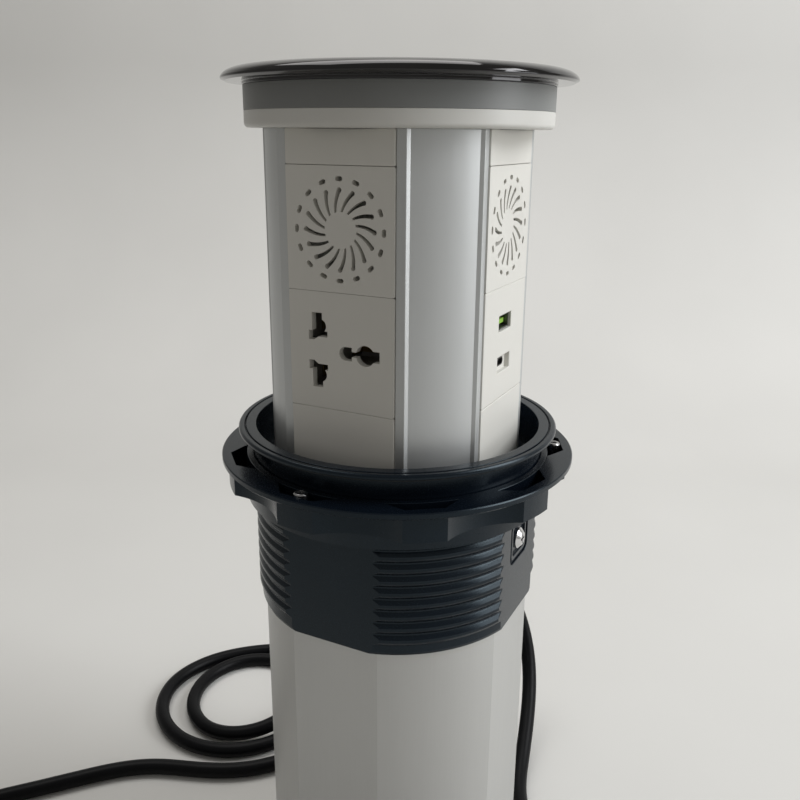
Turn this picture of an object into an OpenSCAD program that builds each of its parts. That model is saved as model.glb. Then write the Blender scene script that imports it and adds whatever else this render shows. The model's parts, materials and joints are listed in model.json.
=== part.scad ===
// Pop-up desk socket: a four-sided socket column that a lead screw lifts out of a round desk collar.
// Millimetres, +Z up, origin at the middle of the underside of the bottom cap.
// Face 0 of the column looks along -Y, face 1 along +X, face 2 along +Y and face 3 along -X.

/* [Heights] */
// Height of the rim's top above the underside of the bottom cap
rim_z = 236; // [232:1:262]
// Height of the column that shows between the rim and the light ring
column_show = 119.8; // [116:0.2:124]
// Length of the column that stays below the rim when it is up
column_hidden = 42; // [41:0.5:46]
// Top edge of the bottom filler plates above the rim
filler_top = 16.2; // [12:0.2:20]

/* [Column] */
// Width of a module plate
plate_w = 45; // [43:0.5:46]
// Height of one module on a face
module_h = 45.5; // [44:0.1:47]
// Thickness of the plates
plate_t = 3; // [2.4:0.1:3.4]
// Distance from the axis to the front of the plates
face_dist = 47.6; // [47:0.1:49]
// Height of the plates above the posts' lands
plate_proud = 0.6; // [0.1:0.1:1]
// Radius of the plates' corners
plate_corner = 0.7; // [0.4:0.1:1.5]
// Gap round each plate
plate_gap = 0.15; // [0.1:0.05:0.3]
// Width of the flat land beside a plate
land_w = 3.8; // [3:0.1:4.5]
// Radius of the posts' round faces
post_r = 53; // [52.4:0.1:53.4]
// Width of the flange behind a plate's edge
flange_w = 2.8; // [2:0.1:3]

/* [Lid and bands] */
// Height of the light ring
light_h = 6.3; // [5.5:0.1:8]
// Height of the grey band
grey_h = 9.1; // [8:0.1:11]
// Inner radius of the light ring and the grey band
band_in_r = 50; // [49.6:0.1:51]
// Wall of the light ring and the grey band
band_wall = 10.6; // [9.8:0.1:12]
// Reach of the lid past the bands
lid_overhang = 8.3; // [7:0.1:10]
// Thickness of the lid
lid_t = 5; // [4.4:0.1:6]
// Height of the collar under the lid
lid_collar_h = 1.3; // [1:0.1:2]
// Radius of the glass inset in the lid
glass_r = 57; // [50:0.5:58]
// Thickness of the glass inset
glass_t = 1.6; // [1.2:0.1:2]
// Thickness of the column head
head_t = 4; // [3:0.5:5]

/* [Tube] */
// Gap between the column's corners and the tube's bore
column_gap = 3.6; // [3.1:0.1:4.2]
// Wall of the tube
tube_wall = 2; // [1.6:0.1:2.4]
// Half angle of each flat on the tube
tube_flat_half = 19.5; // [18.5:0.5:20]
// Thickness of the bottom cap
cap_t = 4; // [3:0.5:5]
// Height of the spigot of the bottom cap
spigot_h = 10; // [9:0.5:12]

/* [Collar] */
// Length of the collar below the rim's top
barrel_len = 80; // [74:0.1:84]
// Wall of the threaded barrel
barrel_wall = 1.5; // [1.3:0.1:2]
// Half angle of each flat on the barrel
barrel_flat_half = 20.6; // [17:0.1:22]
// Height of the thread's ribs
thread_depth = 1; // [0.8:0.1:1.2]
// Pitch of the thread
thread_pitch = 5.2; // [4.6:0.1:6]
// Thickness of the rim
rim_t = 2; // [1.8:0.1:2.6]
// Setback of the rim inside the lid's edge
rim_setback = 0.5; // [0:0.1:1]
// Depth of the recess that takes the bands
recess_depth = 19; // [18.5:0.1:20]
// Wall of the neck round that recess
neck_wall = 1.3; // [1.2:0.1:2]
// Thickness of the ledge under the recess
ledge_t = 3; // [2.5:0.1:4]
// Gap round the bands in the recess
band_gap = 0.5; // [0.4:0.1:0.8]
// Thickness of the gasket under the rim
gasket_t = 0.6; // [0.4:0.1:0.8]
// Height of the guide ring
guide_h = 9; // [8:0.2:10]

/* [Clamp nut] */
// Drop from the rim's top to the nut's top
nut_drop = 11.7; // [11:0.1:20]
// Reach of the nut's flange past the rim
nut_overhang = 7.5; // [7:0.1:10]
// Thickness of the nut's flange
nut_flange_t = 2.5; // [2:0.1:3.4]
// Height of the nut's straight skirt
nut_skirt_h = 10.4; // [10:0.1:13]
// Height of the nut's conical foot
nut_cone_h = 6.5; // [6.4:0.1:8]
// Wall of the bush inside the nut
bush_wall = 2.8; // [2.4:0.1:3.2]
// Number of lands round the nut
land_count = 9; // [9:3:12]
// Radius of a jack screw's shank
jack_r = 1.9; // [1.5:0.1:2.1]
// Radius of a jack screw's head
jack_head_r = 2.8; // [2.4:0.1:2.9]

/* [Drive] */
// Distance that the column travels
stroke = 136; // [125:1:136]
// Radius of the lead screw
screw_r = 4; // [3.5:0.1:5]
// Pitch of the lead screw's ribs
screw_pitch = 4; // [3:0.5:5]
// Radius of the shaft coupling
coupling_r = 7; // [6.5:0.1:8]
// Radius of the gear motor
motor_r = 17; // [14:0.5:18]
// Height of the motor bracket's top above the bottom cap
bracket_h = 36.5; // [34:0.5:38]
// Thickness of the carriage under the column
carriage_t = 4; // [3:0.5:5]
// Height of the guide shoes
shoe_h = 8; // [6:0.5:8.5]

/* [Sockets and ports] */
// Depth of a socket housing
housing_depth = 20; // [18:0.5:21]
// Number of slots in a speaker grille
grille_slots = 16; // [12:1:16]
// Radius of the speaker grille's ring of oval holes
grille_hole_r = 18.2; // [17.5:0.1:18.5]
// Radius of a speaker cone
cone_r = 16; // [14:0.1:16.2]
// Height of the USB-A port above the middle of its plate
usb_a_y = 8.1; // [7:0.1:10]
// Height of the USB-C port above the middle of its plate
usb_c_y = -8.7; // [-11:0.1:-7]

/* [Cord] */
// Diameter of the cord
cord_d = 8.5; // [8:0.1:8.6]
// Height of the cable gland above the bottom cap's underside
gland_z = 105; // [98:1:112]
// Radius of the plug's body
plug_r = 18.5; // [17:0.1:18.6]

/* [Hidden] */
// Running clearance between pieces that move past each other
fit = 0.3;
// Clearance of fixed pieces that slip together
slip = 0.2;
big = 400;
$fn = 96;

land_d = face_dist - plate_proud;
plate_edge = plate_w / 2 + plate_gap;
land_end = plate_edge + land_w;
plate_back = face_dist - plate_t;
corner_r = max(norm([land_end, land_d]), post_r);
lip_angle = atan(land_end / land_d) + 1.6;

tube_in_r = corner_r + column_gap;
tube_r = tube_in_r + tube_wall;
tube_flat = tube_r * cos(tube_flat_half);
tube_in_flat = tube_flat - tube_wall;
tube_top_z = rim_z - recess_depth - ledge_t;

barrel_in_r = tube_r + fit;
core_r = barrel_in_r + barrel_wall;
crest_r = core_r + thread_depth;
barrel_flat = crest_r * cos(barrel_flat_half);
barrel_z = rim_z - barrel_len;

band_r = band_in_r + band_wall;
opening_r = band_r + band_gap;
neck_r = opening_r + neck_wall;
lid_r = band_r + lid_overhang;
rim_r = lid_r - rim_setback;

light_z = rim_z + column_show;
grey_z = light_z + light_h;
collar_z = grey_z + grey_h;
lid_z = collar_z + lid_collar_h;
head_r = band_in_r - slip;
foot_z = rim_z - column_hidden;
carriage_z = foot_z - carriage_t;
filler_z = rim_z + filler_top;
modules_top_z = filler_z + 2 * module_h;

bush_in_r = max(neck_r, crest_r) + fit;
bush_r = bush_in_r + bush_wall;
nut_in_r = bush_r + fit;
nut_rim = 4.5;
// The flange reaches past the rim and past the jack screws' heads
flange_r = max(rim_r + nut_overhang, nut_in_r + 2 * jack_head_r + nut_rim);
land_r = flange_r - 2.5;
pocket_r = land_r - 1.2;
scallop_r = nut_in_r + 1.2;
hub_r = bush_in_r + 3.1;
pocket_share = 0.15;
nut_top_z = rim_z - nut_drop;
skirt_z = nut_top_z - nut_flange_t - nut_skirt_h;
nut_z = skirt_z - nut_cone_h;
bush_seat_z = skirt_z - 1;
pocket_z = skirt_z + 4;
jack_foot_z = skirt_z + 1;
jack_at_r = (bush_r + pocket_r * cos(pocket_share * 360 / land_count)) / 2;
nut_turn = -95;

screw_shank_r = 1.5;
pan_head_r = 2.5;
pan_head_h = 2;
cap_head_r = 3.2;
cap_bite = 2.5;
head_edge = 0.6;
post_wall = 6.3;
screw_wall = 2.8;
groove_lip = 2.2;
// The posts' screws lie inside both the posts and the column head
post_screw_at = min(post_r - post_wall, head_r - pan_head_r - head_edge);
shoe_in_r = corner_r + 0.6;

bracket_z = cap_t + bracket_h;
bracket_t = 2.5;
coupling_z = bracket_z + fit;
coupling_top_z = carriage_z - stroke - pan_head_h - 1;
screw_top_z = foot_z + 18;
leg_r = 4;
leg_at = 42;

collar_screw_z = rim_z - 45.2;
collar_screw_r = 4.5;
frame_half = 10.5;
frame_round = 3.5;
frame_z = rim_z - 54.4;
frame_top_z = rim_z - 35;
frame_depth = 0.6 * (barrel_flat - tube_flat - fit);
gland_len = 26;
gland_y = tube_flat + gland_len;

dish_r = 16.6;
dish_depth = 0.8;
speaker_r = cone_r + fit;
basket_r = speaker_r + 3;
basket_rim = 2.5;
basket_depth = 12;
basket_floor = 1;
basket_neck_r = 7.5;
coil_r = 5.6;
coil_wall = 0.6;
magnet_r = 12;
magnet_h = 7;
housing_half = plate_edge - flange_w - 0.35;
housing_floor = 3;
// Chambers of the line and earth pins: left, bottom, width and height
line_chamber = [-16, 3.4, 11, 12.4];
earth_chamber = [-2.2, -5.6, 19.6, 11.2];
contact_gap = 0.4;
contact_inset = 2;
contact_t = 0.7;
contact_h = 8;
board_t = 1.6;
control_w = 26;
control_l = 40;
part_h = 16;
usb_board_w = 34;
usb_board_h = 38;
usb_depth = 12;
port_floor = 1;
port_h = usb_depth + port_floor;
port_a_h = usb_depth + plate_t - 1.2;
port_recess_w = 13.6;
port_recess_h = 6.4;

plug_at = [-56, 105, 18.6];
plug_turn = 45;
plug_neck_l = 20;
plug_l = 51;
pin_l = 19;
pin_r = 2.4;
pin_at = 9.5;
// The cord's route, in the order that it leaves the gland
route = [
    [0, gland_y, gland_z], [0, gland_y + 14, gland_z - 1], [2, 118, 100], [8, 137, 84], [16, 144, 62],
    [25, 137, 40], [32, 119, 26], [37, 99, 16], [41, 80, 8], [45, 62, 4.4], [56, 42, 4.4], [68, 14, 4.4],
    [78, -22, 4.4], [80, -60, 4.4], [62, -98, 4.4], [20, -120, 4.4], [-30, -126, 4.4], [-85, -132, 4.4],
    [-140, -146, 4.4], [-186, -155, 4.4], [-220, -140, 4.4], [-230, -108, 4.4], [-215, -82, 4.4],
    [-197, -63, 4.4], [-181, -45, 4.4], [-165, -27, 4.4], [-147, -14, 4.4], [-124, -7, 4.4], [-96, 6, 4.4],
    [-74, 35, 4.4], [-61, 72, 4.4], [-71, 109, 4.4], [-101, 127, 4.4], [-134, 124, 4.4], [-164, 107, 4.4],
    [-188, 81, 4.4], [-194, 47, 4.4], [-175, 17, 4.4], [-141, 5, 4.4], [-105, 18, 4.4], [-87, 54, 4.4],
    [-100, 91, 4.4], [-134, 107, 4.4], [-165, 97, 4.4], [-178, 67, 4.4], [-167, 35, 4.4], [-136, 19, 4.4],
    [-105, 35, 7.5], [-94, 64, 16], [-84, 77, 17], [-71, 90, 17], plug_at
];
cord_sides = 10;
cord_rings = 80;

graphite = [0.09, 0.10, 0.12];
black_chrome = [0.05, 0.05, 0.06];
pale_plastic = [0.78, 0.78, 0.75];
silver = [0.66, 0.68, 0.69];
tube_silver = [0.80, 0.82, 0.82];
satin_grey = [0.42, 0.43, 0.44];
chrome = [0.85, 0.86, 0.87];
brass = [0.72, 0.56, 0.26];
dark_plastic = [0.06, 0.06, 0.06];
board_green = [0.10, 0.32, 0.18];

function polar(r, a) = [r * cos(a), r * sin(a)];

// Outline of the tube: a circle with four flats
module flatted(r, flat) {
    intersection() {
        circle(r = r);
        square(2 * flat, center = true);
    }
}

// Outline of the column, grown by a clearance
module column_outline(gap) {
    for (turn = [0, 90])
        rotate(turn) square([2 * (face_dist + gap), 2 * (land_end + gap)], center = true);
    intersection() {
        circle(r = post_r + gap);
        square(2 * land_d, center = true);
    }
}

// Places a shape on a face: X to the right, Y up, Z outwards from the front of the plates
module on_face(face, z) {
    rotate([0, 0, 90 * face]) translate([0, -face_dist, z]) rotate([90, 0, 0]) children();
}

// Places a shape square on a flat of the tube, Z outwards
module on_flat(flat, dist, z) {
    rotate([0, 0, 90 * flat]) translate([0, -dist, z]) rotate([90, 0, 0]) children();
}

function module_z(level) = filler_z + (level + 0.5) * module_h;

module slab(w, h, z0, z1) {
    translate([-w / 2, -h / 2, z0]) cube([w, h, z1 - z0]);
}

// A rectangle with rounded corners
module rounded(w, h, r) {
    square([w - 2 * r, h], center = true);
    square([w, h - 2 * r], center = true);
    for (x = [-1, 1], y = [-1, 1])
        translate([x * (w / 2 - r), y * (h / 2 - r)]) circle(r = r, $fn = 32);
}

// A flat bar with round ends
module stadium(w, h) {
    square([w - h, h], center = true);
    for (side = [-1, 1])
        translate([side * (w - h) / 2, 0]) circle(d = h, $fn = 24);
}

module pan_screw(head_r, head_h, shank_r, shank_l) {
    rotate_extrude($fn = 32) polygon([
        [0, -shank_l], [shank_r, -shank_l], [shank_r, 0], [head_r, 0],
        [head_r, head_h * 0.4], [head_r * 0.6, head_h], [0, head_h]
    ]);
}

// Fixed part

module rib(z, angle) {
    half = thread_pitch * 0.44;
    translate([0, 0, z]) rotate([0, 0, angle - 29]) rotate_extrude(angle = 58) polygon([
        [core_r - 0.7, -half], [core_r, -half], [crest_r - 0.3, -half * 0.6], [crest_r, -half * 0.25],
        [crest_r, half * 0.25], [crest_r - 0.3, half * 0.6], [core_r, half], [core_r - 0.7, half]
    ]);
}

// Four sets of ribs stand in for the turns of the thread between the flats
module thread_ribs() {
    foot_band = 5;
    head_band = 4.5;
    thread_l = tube_top_z - head_band - barrel_z - foot_band;
    for (quarter = [0 : 3], turn = [0 : floor(thread_l / thread_pitch - 1)])
        rib(tube_top_z - head_band - thread_pitch * (turn + quarter / 4) - 1, 45 + 90 * quarter);
}

module barrel_flats() {
    for (flat = [0 : 3])
        rotate([0, 0, 90 * flat])
            translate([-big / 2, -barrel_flat - 20, barrel_z - 1])
                cube([big, 20, big]);
}

// Frame round each collar screw: a shallow recess with a raised edge inside it
module screw_frame() {
    w = 2 * frame_half;
    h = frame_top_z - frame_z;
    translate([0, frame_z + h / 2 - collar_screw_z, -frame_depth]) difference() {
        linear_extrude(frame_depth + 1) rounded(w, h, frame_round);
        translate([0, 0, -1]) linear_extrude(frame_depth + 0.8) difference() {
            rounded(w - 3.2, h - 3.2, frame_round - 1);
            rounded(w - 6.6, h - 6.6, frame_round - 2);
        }
    }
}

module collar() {
    groove = rim_r - 2.4;
    ledge_z = -recess_depth - ledge_t;
    color(graphite) difference() {
        translate([0, 0, rim_z]) rotate_extrude() polygon([
            [opening_r, 0], [groove - 0.7, 0], [groove - 0.7, -0.8], [groove, -0.8], [groove, 0],
            [rim_r - 0.7, 0], [rim_r, -0.7], [rim_r, -rim_t], [neck_r, -rim_t], [neck_r, -recess_depth - 1],
            [core_r, -recess_depth - 1], [core_r, ledge_z], [0, ledge_z], [0, -recess_depth],
            [opening_r, -recess_depth]
        ]);
        translate([0, 0, tube_top_z - 1]) linear_extrude(big) column_outline(0.7);
    }
}

module barrel() {
    color(graphite) difference() {
        union() {
            rotate_extrude() polygon([
                [0, tube_top_z], [core_r, tube_top_z], [core_r, barrel_z + 1.5], [core_r - 0.5, barrel_z],
                [0, barrel_z]
            ]);
            thread_ribs();
        }
        translate([0, 0, barrel_z - 1])
            linear_extrude(tube_top_z - barrel_z + 2) flatted(tube_r + fit, tube_flat + fit);
        barrel_flats();
        for (flat = [1, 3]) on_flat(flat, barrel_flat, collar_screw_z) {
            screw_frame();
            translate([0, 0, -10]) cylinder(r = 2.2, h = 20, $fn = 32);
        }
    }
}

module rim_gasket() {
    color(dark_plastic) translate([0, 0, rim_z - rim_t - gasket_t]) difference() {
        cylinder(r = rim_r - 1, h = gasket_t);
        translate([0, 0, -1]) cylinder(r = neck_r + slip, h = gasket_t + 2);
    }
}

module guide_ring() {
    color(dark_plastic) translate([0, 0, tube_top_z - guide_h]) linear_extrude(guide_h) difference() {
        flatted(tube_in_r - slip, tube_in_flat - slip);
        column_outline(0.5);
    }
}

module collar_screws() {
    seat = barrel_flat - frame_depth;
    color(chrome) for (flat = [1, 3])
        on_flat(flat, seat, collar_screw_z) difference() {
            pan_screw(collar_screw_r, 2.6, 2, seat - tube_in_flat - 0.2);
            for (turn = [0, 90])
                rotate(turn) translate([-2.2, -0.5, 1.2]) cube([4.4, 1, 4]);
        }
}

module tube() {
    color(tube_silver) difference() {
        translate([0, 0, cap_t]) linear_extrude(tube_top_z - cap_t) difference() {
            flatted(tube_r, tube_flat);
            flatted(tube_in_r, tube_in_flat);
        }
        on_flat(2, tube_flat, gland_z) translate([0, 0, -5]) cylinder(r = 8.2, h = 10, $fn = 48);
        for (flat = [1, 3])
            on_flat(flat, tube_flat, collar_screw_z)
                translate([0, 0, -5]) cylinder(r = 2.2, h = 10, $fn = 32);
        for (flat = [0 : 3])
            on_flat(flat, tube_flat, cap_t + spigot_h / 2)
                translate([0, 0, -5]) cylinder(r = screw_shank_r + slip, h = 10, $fn = 32);
    }
}

module bottom_cap() {
    color(dark_plastic) difference() {
        union() {
            linear_extrude(cap_t) flatted(tube_r, tube_flat);
            linear_extrude(cap_t + spigot_h) difference() {
                flatted(tube_in_r - slip, tube_in_flat - slip);
                flatted(tube_in_r - slip - 3, tube_in_flat - slip - 3);
            }
        }
        for (flat = [0 : 3])
            on_flat(flat, tube_flat, cap_t + spigot_h / 2)
                translate([0, 0, -8]) cylinder(r = screw_shank_r + slip, h = 10, $fn = 32);
    }
}

module cap_screws() {
    color(chrome) for (flat = [0 : 3])
        on_flat(flat, tube_flat, cap_t + spigot_h / 2)
            pan_screw(cap_head_r, pan_head_h, screw_shank_r, tube_wall + cap_bite);
}

module motor_bracket() {
    color(silver) difference() {
        union() {
            translate([0, 0, bracket_z - bracket_t]) cylinder(r = leg_at + leg_r + 3, h = bracket_t);
            for (leg = [0 : 3])
                rotate(45 + 90 * leg) translate([leg_at, 0, cap_t])
                    cylinder(r = leg_r, h = bracket_h - bracket_t + 1, $fn = 32);
        }
        translate([0, 0, cap_t]) cylinder(r = coupling_r + 2, h = big, $fn = 48);
    }
}

module gear_motor() {
    gear_h = 12;
    color(satin_grey) difference() {
        union() {
            translate([0, 0, cap_t]) cylinder(r = motor_r - 1.5, h = bracket_h - bracket_t - gear_h + 1);
            translate([0, 0, bracket_z - bracket_t - gear_h]) cylinder(r = motor_r, h = gear_h);
        }
        translate([0, 0, bracket_z - bracket_t - 6]) cylinder(r = 3 + fit, h = big, $fn = 32);
    }
}

module control_board() {
    color(board_green) translate([motor_r + 3, -control_l / 2, cap_t]) {
        cube([control_w, control_l, board_t]);
        translate([control_w * 0.15, control_l * 0.1, 0])
            cube([control_w * 0.6, control_l * 0.3, part_h * 0.8]);
        translate([control_w * 0.2, control_l * 0.55, 0]) cube([control_w * 0.5, control_l * 0.35, part_h]);
    }
}

module cable_gland() {
    root = tube_in_flat - tube_flat + 0.2;
    color(dark_plastic) on_flat(2, tube_flat, gland_z) rotate_extrude($fn = 48) polygon([
        [0, root], [8, root], [8, 0], [10.5, 0], [10.5, 4], [8.6, 5], [8.6, 10], [7.4, 12],
        [cord_d / 2 + 1, gland_len], [0, gland_len]
    ]);
}

// Cubic B-spline between b and c, with the points before and after them
function spline(a, b, c, d, t) =
    (pow(1 - t, 3) * a + (3 * pow(t, 3) - 6 * t * t + 4) * b
    + (1 + 3 * t + 3 * t * t - 3 * pow(t, 3)) * c + pow(t, 3) * d) / 6;
function route_point(i) =
    i < 0 ? 2 * route[0] - route[1]
    : i == len(route) ? 2 * route[i - 1] - route[i - 2]
    : route[i];
cord_line = [
    for (ring = [0 : cord_rings - 1])
        let (u = ring * (len(route) - 1) / (cord_rings - 1), i = min(floor(u), len(route) - 2))
            spline(route_point(i - 1), route_point(i), route_point(i + 1), route_point(i + 2), u - i)
];
function unit(v) = v / norm(v);
function cord_way(i) =
    i == 0 ? [0, 1, 0]
    : i == cord_rings - 1 ? [cos(plug_turn), sin(plug_turn), 0]
    : unit(cord_line[i + 1] - cord_line[i - 1]);
function cord_side(i) = unit(cross(cord_way(i), [0.05, 0.05, 1]));
function cord_ring(i) = [
    for (k = [0 : cord_sides - 1])
        let (a = 360 * (k + 0.5) / cord_sides, side = cord_side(i), up = cross(side, cord_way(i)))
            cord_line[i] + cord_d / 2 * (side * cos(a) + up * sin(a))
];
function cord_gaps() = [
    for (i = [0 : cord_rings - 1], j = [i + 5 : 1 : cord_rings - 1])
        norm(cord_line[i] - cord_line[j]) - cord_d
];

module cord() {
    points = [for (i = [0 : cord_rings - 1]) each cord_ring(i)];
    sides = [
        for (i = [0 : cord_rings - 2], k = [0 : cord_sides - 1])
            let (a = i * cord_sides + k, b = i * cord_sides + (k + 1) % cord_sides)
                each [[a, a + cord_sides, b], [b, a + cord_sides, b + cord_sides]]
    ];
    last = (cord_rings - 1) * cord_sides;
    ends = [
        for (k = [1 : cord_sides - 2])
            each [[0, k, k + 1], [last, last + k + 1, last + k]]
    ];
    echo(cord_least_gap = min(cord_gaps()));
    color(dark_plastic) polyhedron(points, concat(sides, ends));
}

module on_plug() {
    translate(plug_at) rotate([0, 0, plug_turn]) rotate([0, 90, 0]) children();
}

module plug_body() {
    shoulder = plug_neck_l + 2;
    color(dark_plastic) on_plug() difference() {
        rotate_extrude() polygon([
            [0, 0], [cord_d / 2 + 1, 0], [7, plug_neck_l], [10, shoulder], [plug_r - 3, shoulder + 3],
            [plug_r, shoulder + 7], [plug_r, plug_l - 1], [plug_r - 1, plug_l], [0, plug_l]
        ]);
        for (side = [-1, 1]) {
            translate([0, side * pin_at, plug_l - 7]) cylinder(r = pin_r + 0.1, h = 20, $fn = 32);
            translate([side * (plug_r + 0.5), 0, plug_l - 5]) cube([3, 6, 20], center = true);
        }
    }
}

module plug_pins() {
    color(chrome) on_plug() {
        for (side = [-1, 1]) {
            translate([0, side * pin_at, plug_l - 7]) cylinder(r = pin_r, h = pin_l + 7, $fn = 32);
            translate([side * (plug_r - 0.6), 0, plug_l - 7.6]) cube([0.8, 5.6, 14.6], center = true);
        }
    }
}

// Drive

module lead_screw() {
    bottom = coupling_z + 5;
    ribs = floor((screw_top_z - coupling_top_z - 4) / screw_pitch);
    color(chrome) rotate_extrude($fn = 48) polygon(concat(
        [[0, bottom], [screw_r - 0.7, bottom], [screw_r - 0.7, coupling_top_z + 2]],
        [for (i = [0 : ribs - 1])
            let (z = coupling_top_z + 2 + i * screw_pitch)
                each [[screw_r, z + screw_pitch * 0.3], [screw_r, z + screw_pitch * 0.6],
                      [screw_r - 0.7, z + screw_pitch * 0.9]]],
        [[screw_r - 0.7, screw_top_z], [0, screw_top_z]]
    ));
}

module shaft_coupling() {
    color(silver) difference() {
        union() {
            translate([0, 0, coupling_z]) cylinder(r = coupling_r, h = coupling_top_z - coupling_z, $fn = 48);
            translate([0, 0, bracket_z - bracket_t - 5.5])
                cylinder(r = 3, h = bracket_t + 5.5 + 1, $fn = 32);
        }
        translate([0, 0, coupling_z + 5]) cylinder(r = screw_r - 0.7, h = big, $fn = 48);
    }
}

// Clamp

module nut_bush() {
    color(graphite) translate([0, 0, bush_seat_z + fit]) difference() {
        cylinder(r = bush_r, h = nut_top_z - bush_seat_z - 2 * fit);
        translate([0, 0, -1]) cylinder(r = bush_in_r, h = big);
    }
}

// Lands round the nut, with a round scallop between each two
module nut_outline() {
    step = 360 / land_count;
    scallop_half = step * 0.335;
    half_chord = land_r * sin(scallop_half);
    depth = land_r * cos(scallop_half) - scallop_r;
    cut_r = (half_chord * half_chord + depth * depth) / (2 * depth);
    difference() {
        circle(r = land_r);
        for (i = [0 : land_count - 1])
            rotate(nut_turn + step * (i + 0.5)) translate([scallop_r + cut_r, 0]) circle(r = cut_r);
    }
}

module nut_pocket() {
    step = 360 / land_count;
    polygon([
        polar(nut_in_r - 1, -step * 0.3), polar(nut_in_r + 0.5, -step * 0.31),
        polar(pocket_r, -step * pocket_share), polar(pocket_r, step * pocket_share),
        polar(nut_in_r + 0.5, step * 0.31), polar(nut_in_r - 1, step * 0.3)
    ]);
}

module clamp_nut() {
    step = 360 / land_count;
    color(graphite) difference() {
        union() {
            translate([0, 0, nut_top_z - nut_flange_t]) rotate_extrude() polygon([
                [0, 0], [flange_r - 0.4, 0], [flange_r, 0.4], [flange_r, nut_flange_t - 0.4],
                [flange_r - 0.4, nut_flange_t], [0, nut_flange_t]
            ]);
            translate([0, 0, skirt_z]) linear_extrude(nut_top_z - skirt_z - 1) nut_outline();
            rotate_extrude() polygon([[0, nut_z], [hub_r, nut_z], [scallop_r, skirt_z], [0, skirt_z]]);
        }
        translate([0, 0, bush_seat_z]) cylinder(r = nut_in_r, h = big);
        translate([0, 0, nut_z - 1]) cylinder(r = bush_in_r, h = big);
        for (i = [0 : land_count - 1])
            translate([0, 0, pocket_z]) rotate([0, 0, nut_turn + step * i]) linear_extrude(big) nut_pocket();
        for (i = [0 : 2])
            rotate([0, 0, nut_turn + 120 * i])
                translate([jack_at_r, 0, jack_foot_z - slip]) cylinder(r = jack_r + slip, h = big, $fn = 32);
    }
}

module jack_screw(i) {
    head_h = 3;
    edge = 0.5;
    top = nut_top_z + 0.8;
    color(chrome) rotate([0, 0, nut_turn + 120 * i]) translate([jack_at_r, 0, top - head_h]) difference() {
        rotate_extrude($fn = 32) polygon([
            [0, jack_foot_z + head_h - top], [jack_r, jack_foot_z + head_h - top], [jack_r, 0],
            [jack_head_r, 0], [jack_head_r, head_h - edge], [jack_head_r - edge, head_h], [0, head_h]
        ]);
        translate([0, 0, head_h - 1.4]) cylinder(r = jack_head_r / 2, h = 2, $fn = 6);
    }
}

module jack_screw_1() { jack_screw(0); }
module jack_screw_2() { jack_screw(1); }
module jack_screw_3() { jack_screw(2); }

// Lid and bands

module lid_trim() {
    bevel = 8.9;
    rise = 0.8;
    color(black_chrome) difference() {
        translate([0, 0, lid_z]) rotate_extrude() polygon(concat(
            [[0, -lid_collar_h], [band_r + 0.3, -lid_collar_h], [band_r + 0.3, 0], [lid_r - 1.6, 0]],
            [for (a = [0 : 10 : 90]) [lid_r - bevel * (1 - cos(a)), rise + (lid_t - rise) * sin(a)]],
            [[0, lid_t]]
        ));
        translate([0, 0, lid_z + lid_t - glass_t]) cylinder(r = glass_r, h = big);
        translate([0, 0, collar_z - 1]) cylinder(r = band_in_r, h = lid_collar_h + 1);
    }
}

module lid_glass() {
    color(dark_plastic) translate([0, 0, lid_z + lid_t - glass_t]) cylinder(r = glass_r - slip, h = glass_t);
}

module grey_band() {
    color(satin_grey) translate([0, 0, grey_z]) difference() {
        cylinder(r = band_r, h = grey_h);
        translate([0, 0, -1]) cylinder(r = band_in_r, h = grey_h + 2);
    }
}

module light_ring() {
    round_r = 1.8;
    color(pale_plastic) translate([0, 0, light_z]) rotate_extrude() polygon(concat(
        [[band_in_r, 0]],
        [for (a = [-90 : 15 : 0]) [band_r - round_r + round_r * cos(a), round_r + round_r * sin(a)]],
        [[band_r, light_h], [band_in_r, light_h]]
    ));
}

module lamp_board() {
    color(board_green) translate([0, 0, light_z + head_t]) difference() {
        cylinder(r = post_screw_at - pan_head_r - 1.5, h = board_t);
        translate([0, 0, -1]) cylinder(r = 22, h = 4);
    }
}

module post_screw_holes(r) {
    for (corner = [0 : 3])
        rotate(45 + 90 * corner) translate([post_screw_at, 0]) circle(r = r, $fn = 32);
}

module column_head() {
    color(dark_plastic) translate([0, 0, light_z]) linear_extrude(head_t) difference() {
        circle(r = head_r);
        circle(r = 14);
        post_screw_holes(screw_shank_r + slip);
    }
}

module post_screws(z, way) {
    for (corner = [0 : 3])
        rotate([0, 0, 45 + 90 * corner]) translate([post_screw_at, 0, z]) rotate([way, 0, 0])
            pan_screw(pan_head_r, pan_head_h, screw_shank_r, 12);
}

module head_screws() {
    color(chrome) {
        post_screws(light_z + head_t, 0);
        post_screws(carriage_z, 180);
    }
}

// Column

module post(corner) {
    back = plate_back - groove_lip;
    inner = sqrt(2) * (post_screw_at - screw_wall) - plate_edge;
    color(silver) rotate([0, 0, 90 * corner]) translate([0, 0, foot_z]) linear_extrude(light_z - foot_z)
        rotate(-90) difference() {
            polygon(concat(
                [[land_d, plate_edge], [land_d, land_end]],
                [for (i = [0 : 8]) polar(post_r, lip_angle + i * (90 - 2 * lip_angle) / 8)],
                [[land_end, land_d], [plate_edge, land_d], [plate_edge, plate_back],
                 [plate_edge - flange_w, plate_back], [plate_edge - flange_w, back], [plate_edge, back],
                 [plate_edge, inner], [inner, plate_edge], [back, plate_edge],
                 [back, plate_edge - flange_w], [plate_back, plate_edge - flange_w], [plate_back, plate_edge]]
            ));
            rotate(45) translate([post_screw_at, 0]) circle(r = screw_shank_r + 0.1, $fn = 32);
        }
}

module post_1() { post(0); }
module post_2() { post(1); }
module post_3() { post(2); }
module post_4() { post(3); }

module plate(h) {
    translate([0, 0, -plate_t]) linear_extrude(plate_t) rounded(plate_w, h, plate_corner);
}

module filler(face, z0, z1) {
    on_face(face, (z0 + z1) / 2) plate(z1 - z0);
}

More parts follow.
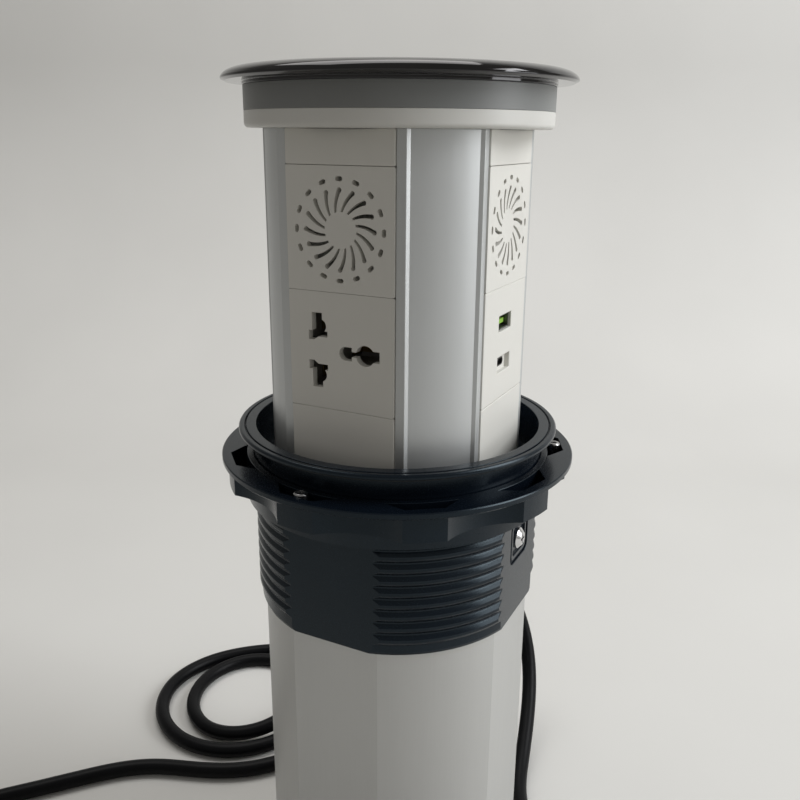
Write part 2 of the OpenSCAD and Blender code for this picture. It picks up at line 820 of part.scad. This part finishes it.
module top_fillers() {
    color(pale_plastic) for (face = [0 : 3]) filler(face, modules_top_z + plate_gap / 2, light_z);
}

module bottom_fillers() {
    color(pale_plastic) for (face = [0 : 3]) filler(face, foot_z, filler_z - plate_gap / 2);
}

module module_plate() {
    plate(module_h - plate_gap);
}

// One curved, widening slot of the speaker grille
module grille_slot() {
    first = 6.6;
    last = 14.3;
    sweep = 17;
    steps = 6;
    function at(i, side) =
        let (r = first + (last - first) * i / steps, half = 0.45 + 0.5 * i / steps)
            polar(r, sweep * (1 - i / steps) + side * half / r * 180 / PI);
    polygon(concat([for (i = [0 : steps]) at(i, 1)], [for (i = [steps : -1 : 0]) at(i, -1)]));
    translate([last, 0]) circle(r = 0.95, $fn = 20);
}

module grille() {
    for (i = [0 : grille_slots - 1])
        rotate(i * 360 / grille_slots) {
            grille_slot();
            translate([grille_hole_r, 0]) rotate(90) stadium(3, 1.7);
        }
}

// Shallow dish under the grille's slots
module grille_dish() {
    rings = 6;
    function depth(i) = dish_depth * (pow(max(i, 1) / rings, 2) - 1);
    rotate_extrude() polygon(concat(
        [for (i = [0 : rings]) [dish_r * i / rings, depth(i)]], [[dish_r, 1], [0, 1]]
    ));
}

module speaker_plate(face) {
    color(pale_plastic) on_face(face, module_z(1)) difference() {
        module_plate();
        grille_dish();
        translate([0, 0, -plate_t - 1]) linear_extrude(plate_t + 2) grille();
    }
}

module speaker_plate_1() { speaker_plate(0); }
module speaker_plate_2() { speaker_plate(1); }
module blank_plate_1() { color(pale_plastic) on_face(2, module_z(1)) module_plate(); }
module blank_plate_2() { color(pale_plastic) on_face(3, module_z(1)) module_plate(); }

// Apertures of the universal socket, seen from the front
module line_aperture() {
    translate([-12.6, 6]) square([4.5, 8.6]);
    translate([-14.1, 5.3]) square([8.3, 2.3]);
    polygon([[-14.1, 4], [-11.8, 4], [-9.8, 5.4], [-14.1, 5.4]]);
    translate([-9.1, 9.5]) circle(r = 2.75, $fn = 32);
}

module earth_aperture() {
    translate([1.9, 0]) circle(r = 2.65, $fn = 32);
    translate([1.9, -2.65]) square([2.8, 5.3]);
    translate([3, -1]) square([5, 2]);
    translate([10.4, 0]) circle(r = 4, $fn = 48);
    translate([12, -2.2]) square([4.5, 4.4]);
}

module socket_apertures() {
    line_aperture();
    mirror([0, 1]) line_aperture();
    earth_aperture();
}

module socket_plate(face) {
    color(pale_plastic) on_face(face, module_z(0)) difference() {
        module_plate();
        translate([0, 0, -plate_t - 1]) linear_extrude(plate_t + 2) socket_apertures();
    }
}

module socket_plate_1() { socket_plate(0); }
module socket_plate_2() { socket_plate(2); }
module socket_plate_3() { socket_plate(3); }

// Chambers behind the apertures
module chamber(at) {
    translate([at[0], at[1]]) square([at[2], at[3]]);
}

module socket_chambers() {
    for (side = [0, 1])
        mirror([0, side]) chamber(line_chamber);
    chamber(earth_chamber);
}

module socket_housing(face) {
    color(dark_plastic) on_face(face, module_z(0)) difference() {
        slab(2 * housing_half, 2 * housing_half, -plate_t - housing_depth, -plate_t);
        translate([0, 0, -plate_t - housing_depth + housing_floor])
            linear_extrude(housing_depth) socket_chambers();
    }
}

module socket_housing_1() { socket_housing(0); }
module socket_housing_2() { socket_housing(2); }
module socket_housing_3() { socket_housing(3); }

// A pair of contact leaves on a bridge at the bottom of a chamber
module contact(at) {
    w = at[2] - 2 * contact_gap;
    l = at[3] - 2 * contact_inset;
    translate([at[0] + contact_gap, at[1] + contact_inset, -plate_t - housing_depth + housing_floor]) {
        cube([w, l, contact_t]);
        for (x = [0, w - contact_t])
            translate([x, 0, 0]) cube([contact_t, l, contact_h]);
    }
}

module socket_contacts() {
    color(brass) for (face = [0, 2, 3]) on_face(face, module_z(0)) {
        for (side = [0, 1])
            mirror([0, side]) contact(line_chamber);
        contact(earth_chamber);
    }
}

module usb_plate() {
    color(pale_plastic) on_face(1, module_z(0)) {
        difference() {
            module_plate();
            translate([0, usb_a_y, -plate_t - 1])
                linear_extrude(plate_t + 2) square([port_recess_w, port_recess_h], center = true);
            translate([0, usb_c_y, -plate_t - 1]) linear_extrude(plate_t + 2) stadium(9.2, 3.5);
            translate([0, usb_c_y, port_floor - plate_t])
                linear_extrude(plate_t) square([port_recess_w, port_recess_h], center = true);
        }
        for (x = [-1, 1], y = [-1, 1])
            translate([x * 15, y * 16, -plate_t - usb_depth])
                cylinder(r = 1.8, h = usb_depth + 0.5, $fn = 24);
    }
}

module usb_board() {
    back = -plate_t - usb_depth;
    color(board_green) on_face(1, module_z(0)) slab(usb_board_w, usb_board_h, back - board_t, back);
}

module usb_a_shell() {
    color(chrome) on_face(1, module_z(0)) translate([0, usb_a_y, -plate_t - usb_depth])
        linear_extrude(port_a_h) difference() {
            square([13, 5.7], center = true);
            square([12.2, 4.9], center = true);
        }
}

module usb_a_tongue() {
    color([0.10, 0.55, 0.35]) on_face(1, module_z(0)) translate([0, usb_a_y, -plate_t - usb_depth]) {
        slab(12, 4.7, 0, 1.5);
        translate([0, -0.4, 0]) slab(11, 1.8, 0, port_a_h - 1.6);
    }
}

module usb_c_shell() {
    color(chrome) on_face(1, module_z(0)) translate([0, usb_c_y, -plate_t - usb_depth])
        linear_extrude(port_h) difference() {
            stadium(9, 3.3);
            stadium(8.3, 2.6);
        }
}

module usb_c_tongue() {
    color(dark_plastic) on_face(1, module_z(0)) translate([0, usb_c_y, -plate_t - usb_depth]) {
        linear_extrude(1.5) stadium(8.1, 2.4);
        slab(6.7, 0.7, 0, port_h - 1);
    }
}

// Speakers: depths are measured from the back of the plate

module on_speaker(face) {
    on_face(face, module_z(1)) translate([0, 0, -plate_t]) children();
}

module speaker_basket(face) {
    floor_z = basket_floor - basket_depth;
    color(dark_plastic) on_speaker(face) rotate_extrude() polygon([
        [speaker_r, 0], [basket_r, 0], [basket_r, -basket_rim], [speaker_r + 1.2, -basket_rim],
        [basket_neck_r + 2.5, -basket_depth], [basket_neck_r, -basket_depth], [basket_neck_r, floor_z],
        [basket_neck_r + 1.5, floor_z], [speaker_r, -basket_rim]
    ]);
}

module speaker_cone(face) {
    coil_z = basket_floor - basket_depth;
    color(satin_grey) on_speaker(face) rotate_extrude() polygon([
        [0, -5.6], [2.5, -5.9], [5, -7], [cone_r, -1], [cone_r, -1.8], [coil_r, -8], [coil_r, coil_z],
        [coil_r - coil_wall, coil_z], [coil_r - coil_wall, -8], [2.5, -6.9], [0, -6.6]
    ]);
}

module speaker_magnets() {
    color(silver) for (face = [0, 1])
        on_speaker(face) translate([0, 0, -basket_depth - magnet_h]) cylinder(r = magnet_r, h = magnet_h);
}

module speaker_basket_1() { speaker_basket(0); }
module speaker_basket_2() { speaker_basket(1); }
module speaker_cone_1() { speaker_cone(0); }
module speaker_cone_2() { speaker_cone(1); }

module carriage() {
    color(dark_plastic) translate([0, 0, carriage_z]) linear_extrude(carriage_t) difference() {
        flatted(tube_in_r - 0.5, tube_in_flat - 0.5);
        circle(r = screw_r + 1);
        post_screw_holes(screw_shank_r + slip);
    }
}

module guide_shoes() {
    color(pale_plastic) translate([0, 0, foot_z]) linear_extrude(shoe_h) difference() {
        flatted(tube_in_r - fit, tube_in_flat - fit);
        circle(r = shoe_in_r);
    }
}

module drive_nut() {
    color(brass) translate([0, 0, foot_z]) difference() {
        union() {
            cylinder(r = screw_r + 8, h = 3);
            cylinder(r = screw_r + 3, h = 14);
        }
        translate([0, 0, -1]) cylinder(r = screw_r + slip, h = 20);
    }
}

collar();
barrel();
rim_gasket();
guide_ring();
collar_screws();
tube();
bottom_cap();
cap_screws();
motor_bracket();
gear_motor();
control_board();
cable_gland();
cord();
plug_body();
plug_pins();
lead_screw();
shaft_coupling();
nut_bush();
clamp_nut();
jack_screw_1();
jack_screw_2();
jack_screw_3();
lid_trim();
lid_glass();
grey_band();
light_ring();
lamp_board();
column_head();
head_screws();
post_1();
post_2();
post_3();
post_4();
top_fillers();
bottom_fillers();
speaker_plate_1();
speaker_plate_2();
blank_plate_1();
blank_plate_2();
socket_plate_1();
socket_plate_2();
socket_plate_3();
usb_plate();
speaker_basket_1();
speaker_basket_2();
speaker_cone_1();
speaker_cone_2();
speaker_magnets();
socket_housing_1();
socket_housing_2();
socket_housing_3();
socket_contacts();
usb_board();
usb_a_shell();
usb_a_tongue();
usb_c_shell();
usb_c_tongue();
carriage();
guide_shoes();
drive_nut();
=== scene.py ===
"""Pop-up desk socket: looks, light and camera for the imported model."""
import json
import math

import bpy
from mathutils import Matrix, Vector


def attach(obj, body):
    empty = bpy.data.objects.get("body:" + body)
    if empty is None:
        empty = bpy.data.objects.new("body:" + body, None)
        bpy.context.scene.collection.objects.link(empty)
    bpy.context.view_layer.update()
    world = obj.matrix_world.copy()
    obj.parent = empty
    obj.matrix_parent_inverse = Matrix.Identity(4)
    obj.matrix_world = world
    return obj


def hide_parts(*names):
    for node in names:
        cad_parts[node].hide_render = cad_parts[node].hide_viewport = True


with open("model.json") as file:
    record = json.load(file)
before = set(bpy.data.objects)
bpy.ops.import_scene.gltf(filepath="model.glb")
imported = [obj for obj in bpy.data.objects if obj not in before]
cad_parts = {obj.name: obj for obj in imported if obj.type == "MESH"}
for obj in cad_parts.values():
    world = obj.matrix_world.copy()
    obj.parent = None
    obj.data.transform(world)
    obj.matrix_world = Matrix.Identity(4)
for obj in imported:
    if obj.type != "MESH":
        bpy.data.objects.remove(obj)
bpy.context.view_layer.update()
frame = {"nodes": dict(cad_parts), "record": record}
scene = bpy.context.scene
scene.view_settings.view_transform = "Standard"
MM = 0.001
# How far the camera's side is turned about the column
VIEW_TURN = math.radians(26.83)


# Camera

def set_camera():
    """A camera at the photograph's place, given by its turn about the column and its tilt."""
    place = (0.15999, -0.31629, 0.3543)
    pitch = math.radians(17.374)
    roll = math.radians(0.446)
    yaw = math.radians(0.162)
    across = Vector((math.cos(yaw), -math.sin(yaw), 0))
    level = math.cos(pitch)
    ahead = Vector((math.sin(yaw) * level, math.cos(yaw) * level, -math.sin(pitch)))
    down = ahead.cross(across)
    right = across * math.cos(roll) - down * math.sin(roll)
    below = across * math.sin(roll) + down * math.cos(roll)
    to_object = Matrix.Rotation(VIEW_TURN, 3, "Z")
    axes = [to_object @ v for v in (right, -below, -ahead)]
    data = bpy.data.cameras.new("camera")
    data.lens = 38.42
    data.sensor_width = 36
    data.clip_start = 0.01
    camera = bpy.data.objects.new("camera", data)
    camera.matrix_world = Matrix.Translation(place) @ Matrix(axes).transposed().to_4x4()
    scene.collection.objects.link(camera)
    scene.camera = camera


set_camera()


# Materials

def wire(material, start, socket, end, name):
    """Joins one node's output to another's input."""
    material.node_tree.links.new(start.outputs[socket], end.inputs[name])


def new_node(material, kind, **values):
    """A shader node with its inputs set, where an underscore stands for a space in an input's name."""
    node = material.node_tree.nodes.new(kind)
    for name, value in values.items():
        node.inputs[name.replace("_", " ")].default_value = value
    return node


def noise(material, scale, stretch=(1, 1, 1)):
    """A noise over the object's own coordinates, in metres."""
    coords = new_node(material, "ShaderNodeTexCoord")
    mapping = new_node(material, "ShaderNodeMapping", Scale=stretch)
    texture = new_node(material, "ShaderNodeTexNoise", Scale=scale, Detail=3.0)
    wire(material, coords, "Object", mapping, "Vector")
    wire(material, mapping, "Vector", texture, "Vector")
    return texture


def remap(material, texture, low, high):
    """Spreads a noise's middle range over low to high."""
    ends = dict(From_Min=0.3, From_Max=0.7, To_Min=low, To_Max=high)
    scale = new_node(material, "ShaderNodeMapRange", **ends)
    wire(material, texture, "Fac", scale, "Value")
    return scale


def tints(material, texture, dark, light):
    """Colours a noise from dark to light."""
    ramp = new_node(material, "ShaderNodeValToRGB")
    for element, place, colour in zip(ramp.color_ramp.elements, (0.32, 0.68), (dark, light)):
        element.position = place
        element.color = (*colour, 1)
    wire(material, texture, "Fac", ramp, "Fac")
    return ramp


def bump(material, texture, height):
    """Lifts the surface by a noise, height in metres."""
    node = new_node(material, "ShaderNodeBump", Strength=1.0, Distance=height)
    wire(material, texture, "Fac", node, "Height")
    return node


def finish(name, colour, rough, metal=0.0, spread=0.05, cloud=40.0, grain=1500.0, relief=0.01,
           stretch=(1, 1, 1), **sockets):
    """A surface whose colour drifts in soft clouds over a fine grain, relief in millimetres."""
    material = bpy.data.materials.new(name)
    material.use_nodes = True
    shader = material.node_tree.nodes["Principled BSDF"]
    shader.inputs["Metallic"].default_value = metal
    for socket, value in sockets.items():
        shader.inputs[socket.replace("_", " ")].default_value = value
    clouds = noise(material, cloud, stretch)
    fine = noise(material, grain, stretch)
    dark = [c * (1 - spread) for c in colour]
    light = [c * (1 + spread) for c in colour]
    wire(material, tints(material, clouds, dark, light), "Color", shader, "Base Color")
    wire(material, remap(material, fine, *rough), "Result", shader, "Roughness")
    wire(material, bump(material, fine, relief * MM), "Normal", shader, "Normal")
    return material


# Draws a noise out into upright streaks
UPRIGHT = (1, 1, 0.015)
# Each slot's colour, its range of roughness and its other looks
SURFACES = {
    # The blue in this black and in its specular tint is painted reflection: it stands in for a cool cast
    # from shaded surroundings.
    "black_plastic": ((0.0036, 0.0062, 0.011), (0.2, 0.29), dict(
        spread=0.15, grain=2600, relief=0.006, Specular_IOR_Level=0.33,
        Specular_Tint=(0.7, 0.885, 1.0, 1.0))),
    "gasket": ((0.010, 0.010, 0.011), (0.6, 0.75), dict(grain=900, relief=0.02)),
    "dark_nylon": ((0.013, 0.013, 0.014), (0.42, 0.55), dict(
        grain=1400, relief=0.015, Specular_IOR_Level=0.3)),
    "inner_nylon": ((0.3, 0.297, 0.28), (0.5, 0.6), dict(grain=1400, relief=0.015)),
    # This steel is darker than the shells' own metal so that the insides of the ports render dark:
    # painted shade in the ports.
    "port_steel": ((0.16, 0.16, 0.155), (0.35, 0.5), dict(metal=1.0, grain=2400, relief=0.003)),
    "screw_chrome": ((0.66, 0.66, 0.66), (0.14, 0.26), dict(metal=1.0, grain=3000, relief=0.002)),
    "jack_steel": ((0.42, 0.42, 0.425), (0.2, 0.32), dict(metal=1.0, grain=2000, relief=0.003)),
    "tube_aluminium": ((0.56, 0.562, 0.55), (0.42, 0.52), dict(
        metal=0.6, spread=0.03, cloud=25, grain=2600, relief=0.0015, stretch=UPRIGHT)),
    "bracket_aluminium": ((0.55, 0.55, 0.57), (0.35, 0.5), dict(
        metal=1.0, grain=1800, relief=0.004)),
    "motor_grey": ((0.33, 0.33, 0.34), (0.3, 0.42), dict(metal=1.0, grain=1200, relief=0.004)),
    "board_green": ((0.03, 0.16, 0.075), (0.25, 0.4), dict(spread=0.2, cloud=300, relief=0.02)),
    "cord_black": ((0.004, 0.0042, 0.005), (0.34, 0.46), dict(
        spread=0.2, grain=1300, relief=0.012, Specular_IOR_Level=0.11)),
    "screw_steel": ((0.55, 0.55, 0.55), (0.22, 0.36), dict(metal=1.0, grain=2400, relief=0.003)),
    "lid_chrome": ((0.055, 0.054, 0.055), (0.04, 0.09), dict(
        metal=1.0, spread=0.08, grain=700, relief=0.0003)),
    "lid_glass": ((0.006, 0.006, 0.007), (0.03, 0.07), dict(
        grain=500, relief=0.0003, Coat_Weight=1.0, Coat_Roughness=0.03)),
    "band_grey": ((0.235, 0.243, 0.24), (0.36, 0.46), dict(spread=0.03, grain=2600, relief=0.004)),
    "light_white": ((0.76, 0.755, 0.72), (0.34, 0.42), dict(
        spread=0.015, grain=1600, relief=0.004, Subsurface_Weight=0.15,
        Subsurface_Radius=(0.003, 0.0027, 0.0024))),
    "post_aluminium": ((0.58, 0.595, 0.595), (0.38, 0.48), dict(
        metal=0.55, spread=0.02, cloud=30, grain=3000, relief=0.0015, stretch=UPRIGHT)),
    "plate_white": ((0.79, 0.78, 0.735), (0.4, 0.5), dict(
        spread=0.012, cloud=30, grain=2400, relief=0.006)),
    "cone_paper": ((0.46, 0.455, 0.435), (0.6, 0.8), dict(
        spread=0.25, cloud=700, grain=1100, relief=0.04)),
    "contact_brass": ((0.34, 0.25, 0.11), (0.34, 0.5), dict(metal=1.0, grain=1600, relief=0.003)),
    "tongue_green": ((0.30, 0.56, 0.08), (0.35, 0.45), dict(grain=2500, relief=0.003)),
    "shoe_white": ((0.74, 0.73, 0.70), (0.4, 0.5), dict(grain=1500, relief=0.006)),
}
FINISHES = {}
for slot, (colour, rough, looks) in SURFACES.items():
    FINISHES[slot] = finish(slot, colour, rough, **looks)


# Edges of the CAD pieces

WELD = 0.002 * MM
# Faces that meet at less than this are shaded as one
SMOOTH_ANGLE = math.radians(17)
# Faces that meet at less than this are merged into one
MERGE_ANGLE = math.radians(0.4)
# Edges sharper than this are rounded
SHARP_ANGLE = math.radians(40)
ROUND_STEPS = 2


def smooth_group():
    """Welds a CAD mesh and shades it smooth wherever its faces meet at a flat angle."""
    group = bpy.data.node_groups.new("welded_smooth", "GeometryNodeTree")
    for way in ("INPUT", "OUTPUT"):
        group.interface.new_socket("Geometry", in_out=way, socket_type="NodeSocketGeometry")
    kinds = ("NodeGroupInput", "GeometryNodeRemoveAttribute", "GeometryNodeMergeByDistance",
             "GeometryNodeSetShadeSmooth", "GeometryNodeSetShadeSmooth", "NodeGroupOutput")
    chain = [group.nodes.new(kind) for kind in kinds]
    for start, end in zip(chain, chain[1:]):
        group.links.new(start.outputs[0], end.inputs[0])
    chain[1].inputs["Name"].default_value = "custom_normal"
    chain[2].inputs["Distance"].default_value = WELD
    chain[4].domain = "EDGE"
    angle = group.nodes.new("GeometryNodeInputMeshEdgeAngle")
    flat = group.nodes.new("FunctionNodeCompare")
    flat.operation = "LESS_THAN"
    flat.inputs["B"].default_value = SMOOTH_ANGLE
    group.links.new(angle.outputs["Unsigned Angle"], flat.inputs["A"])
    group.links.new(flat.outputs["Result"], chain[4].inputs["Shade Smooth"])
    return group


# The round on the sharp edges of each slot's pieces, in millimetres
BEVELS = {
    "black_plastic": 0.35, "plate_white": 0.35, "post_aluminium": 0.25, "tube_aluminium": 0.3,
    "lid_chrome": 0.3, "lid_glass": 0.3, "band_grey": 0.25, "light_white": 0.25, "dark_nylon": 0.3,
    "cord_black": 0.4, "screw_chrome": 0.12, "jack_steel": 0.12, "shoe_white": 0.3,
    "bracket_aluminium": 0.3, "inner_nylon": 0.3,
}
# Turned pieces, whose flat rings are not merged
TURNED = ("collar", "nut_bush", "lid_trim", "grey_band", "light_ring")
# Pieces that stay sharp, where a round would fold over itself
UNBEVELLED = ("usb_c_tongue", "plug_pins", "plug_body", "speaker_plate_1", "speaker_plate_2",
              "socket_plate_1", "socket_plate_2", "socket_plate_3", "clamp_nut")


def dress_nodes():
    """Gives each CAD piece its finish, and a small round on its sharp edges."""
    group = smooth_group()
    for part in frame["record"]["subparts"]:
        node = frame["nodes"][part["node"]]
        slot = part["material_slot"]
        node.material_slots[0].material = FINISHES[slot]
        node.modifiers.new("smooth", "NODES").node_group = group
        width = BEVELS.get(slot)
        if width is None or part["node"] in UNBEVELLED:
            continue
        if part["node"] not in TURNED:
            merge = node.modifiers.new("merge", "DECIMATE")
            merge.decimate_type = "DISSOLVE"
            merge.angle_limit = MERGE_ANGLE
        bevel = node.modifiers.new("bevel", "BEVEL")
        bevel.width = width * MM
        bevel.segments = ROUND_STEPS
        bevel.limit_method = "ANGLE"
        bevel.angle_limit = SHARP_ANGLE
        bevel.use_clamp_overlap = False
        bevel.harden_normals = True


dress_nodes()


# Trim

RIDGE_R = 0.7


def turned_rings(name, beads, place, way, slot):
    """Rounded rings about an axis, each given by its distance along it and its radius."""
    around = 64
    across = 12
    turn = Vector((0, 0, 1)).rotation_difference(Vector(way)).to_matrix()
    verts = []
    faces = []
    for along, ring_r in beads:
        first = len(verts)
        for i in range(around):
            a = math.tau * i / around
            for k in range(across):
                b = math.tau * k / across
                r = ring_r + RIDGE_R * math.cos(b)
                point = Vector((r * math.cos(a), r * math.sin(a), along + RIDGE_R * math.sin(b)))
                verts.append((Vector(place) + turn @ point) * MM)
        for i in range(around):
            for k in range(across):
                i2 = (i + 1) % around
                k2 = (k + 1) % across
                corners = ((i, k), (i2, k), (i2, k2), (i, k2))
                faces.append([first + p * across + q for p, q in corners])
    mesh = bpy.data.meshes.new(name)
    mesh.from_pydata(verts, [], faces)
    mesh.polygons.foreach_set("use_smooth", [True] * len(faces))
    mesh.materials.append(FINISHES[slot])
    piece = bpy.data.objects.new(name, mesh)
    scene.collection.objects.link(piece)
    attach(piece, "base")
    return piece


# Cord, its lengths in millimetres as in the part's source

CORD_D = 8.5 * MM
FLOOR_Z = 4.4
GLAND_Y = 82.12
GLAND_Z = 105
PLUG_AT = (-56, 105, 18.6)
PLUG_WAY = (math.sqrt(0.5), math.sqrt(0.5), 0)
TUBE_FLAT = 56.12
# The points that the cord follows, on the floor where no height is given
ROUTE = [
    (0, GLAND_Y, GLAND_Z), (0, GLAND_Y + 14, GLAND_Z - 1), (2, 118, 100), (8, 137, 84), (16, 144, 62),
    (25, 137, 40), (32, 119, 26), (37, 99, 16), (41, 80, 8), (45, 62), (56, 42), (68, 14), (78, -22),
    (80, -60), (62, -98), (20, -120), (-30, -126), (-85, -132), (-140, -146), (-186, -155), (-220, -140),
    (-230, -108), (-215, -82), (-197, -63), (-181, -45), (-165, -27), (-147, -14), (-124, -7), (-96, 6),
    (-74, 35), (-61, 72), (-71, 109), (-101, 127), (-134, 124), (-164, 107), (-188, 81), (-194, 47),
    (-175, 17), (-141, 5), (-105, 18), (-87, 54), (-100, 91), (-134, 107), (-165, 97), (-178, 67),
    (-167, 35), (-136, 19), (-105, 35, 7.5), (-94, 64, 16), (-84, 77, 17), (-71, 90, 17), PLUG_AT,
]


def cord_line(steps):
    """The cord's middle line in metres: a smooth B-spline over the route's points."""
    knots = [Vector(p if len(p) == 3 else (*p, FLOOR_Z)) * MM for p in ROUTE]
    knots = [2 * knots[0] - knots[1]] + knots + [2 * knots[-1] - knots[-2]]
    line = []
    for i in range(len(knots) - 3):
        a, b, c, d = knots[i:i + 4]
        for k in range(steps):
            t = k / steps
            line.append(((1 - t) ** 3 * a + (3 * t ** 3 - 6 * t ** 2 + 4) * b
                         + (1 + 3 * t + 3 * t ** 2 - 3 * t ** 3) * c + t ** 3 * d) / 6)
    return line + [Vector(PLUG_AT) * MM]


def make_cord():
    """The cord with its plug's ridges, from the gland to the plug."""
    line = cord_line(10)
    data = bpy.data.curves.new("cord_jacket", "CURVE")
    data.dimensions = "3D"
    data.bevel_depth = CORD_D / 2
    data.bevel_resolution = 6
    data.use_fill_caps = True
    spline = data.splines.new("POLY")
    spline.points.add(len(line) - 1)
    for point, place in zip(spline.points, line):
        point.co = (*place, 1)
    spline.use_smooth = True
    data.materials.append(FINISHES["cord_black"])
    cord = bpy.data.objects.new("cord_jacket", data)
    scene.collection.objects.link(cord)
    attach(cord, "base")
    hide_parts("cord")
    neck_r = 5.25
    widens = 0.0875
    beads = [(a, neck_r + widens * a) for a in range(3, 20, 3)]
    ridges = turned_rings("plug_ridges", beads, PLUG_AT, PLUG_WAY, "cord_black")


def make_gland_ridges():
    """Ridges along the tapered strain relief of the gland."""
    taper_at = 12
    taper_r = 7.4
    narrows = 0.1536
    beads = [(a, taper_r - narrows * (a - taper_at)) for a in (13.5, 16, 18.5, 21, 23.5)]
    turned_rings("gland_ridges", beads, (0, TUBE_FLAT, GLAND_Z), (0, 1, 0), "dark_nylon")


make_cord()
make_gland_ridges()


# Stage and light

def stage_material():
    """Pale to the camera and in reflections, darker in the light that it throws back."""
    material = bpy.data.materials.new("stage_paper")
    material.use_nodes = True
    shader = material.node_tree.nodes["Principled BSDF"]
    shader.inputs["Roughness"].default_value = 0.75
    shader.inputs["Specular IOR Level"].default_value = 0.25
    path = new_node(material, "ShaderNodeLightPath")
    mix = material.node_tree.nodes.new("ShaderNodeMixRGB")
    mix.inputs["Color2"].default_value = (0.32, 0.31, 0.29, 1)
    clouds = noise(material, 3.0)
    paper = tints(material, clouds, (0.70, 0.695, 0.675), (0.74, 0.735, 0.715))
    wire(material, paper, "Color", mix, "Color1")
    wire(material, path, "Is Diffuse Ray", mix, "Fac")
    wire(material, mix, "Color", shader, "Base Color")
    return material


def make_stage():
    """A floor that sweeps up into a backdrop behind the object, square to the camera."""
    front = -2.6
    start = 0.5
    radius = 0.45
    top = 2.2
    half = 2.4
    steps = 24
    profile = [(front, 0.0), (0.0, 0.0), (start, 0.0)]
    for k in range(1, steps + 1):
        a = math.radians(90 * k / steps)
        profile.append((start + radius * math.sin(a), radius * (1 - math.cos(a))))
    profile.append((start + radius, top))
    turn = Matrix.Rotation(VIEW_TURN, 3, "Z")
    verts = [turn @ Vector((side * half, y, z)) for y, z in profile for side in (-1, 1)]
    faces = [(2 * i, 2 * i + 1, 2 * i + 3, 2 * i + 2) for i in range(len(profile) - 1)]
    mesh = bpy.data.meshes.new("stage_sweep")
    mesh.from_pydata(verts, [], faces)
    mesh.polygons.foreach_set("use_smooth", [True] * len(faces))
    mesh.materials.append(stage_material())
    sweep = bpy.data.objects.new("stage_sweep", mesh)
    scene.collection.objects.link(sweep)


def area_light(name, place, target, size, power, colour):
    """A lamp at a place that faces a target, unseen by the camera."""
    data = bpy.data.lights.new(name, "AREA")
    data.shape = "RECTANGLE"
    data.size, data.size_y = size
    data.energy = power
    data.color = colour
    lamp = bpy.data.objects.new(name, data)
    lamp.location = place
    lamp.rotation_euler = (Vector(target) - Vector(place)).to_track_quat("-Z", "Y").to_euler()
    lamp.visible_camera = False
    scene.collection.objects.link(lamp)


def set_world():
    """Dim, slightly warm light all round."""
    world = bpy.data.worlds.new("room")
    scene.world = world
    world.use_nodes = True
    background = world.node_tree.nodes["Background"]
    background.inputs["Color"].default_value = (1.0, 0.97, 0.92, 1)
    background.inputs["Strength"].default_value = 0.25


DAYLIGHT = (0.97, 0.985, 1.0)
WARM_LIGHT = (1.0, 0.985, 0.96)

make_stage()
set_world()
area_light("window", (1.5, 0.555, 1.445), (0, 0, 0.26), (1.05, 1.05), 25.0, DAYLIGHT)
area_light("window_foot", (1.7, 0.45, 0.46), (0, 0, 0.25), (0.8, 0.8), 7.0, DAYLIGHT)
area_light("ceiling", (-0.35, 0.35, 1.5), (-0.2, 0.2, 0), (1.2, 0.8), 8.3, WARM_LIGHT)
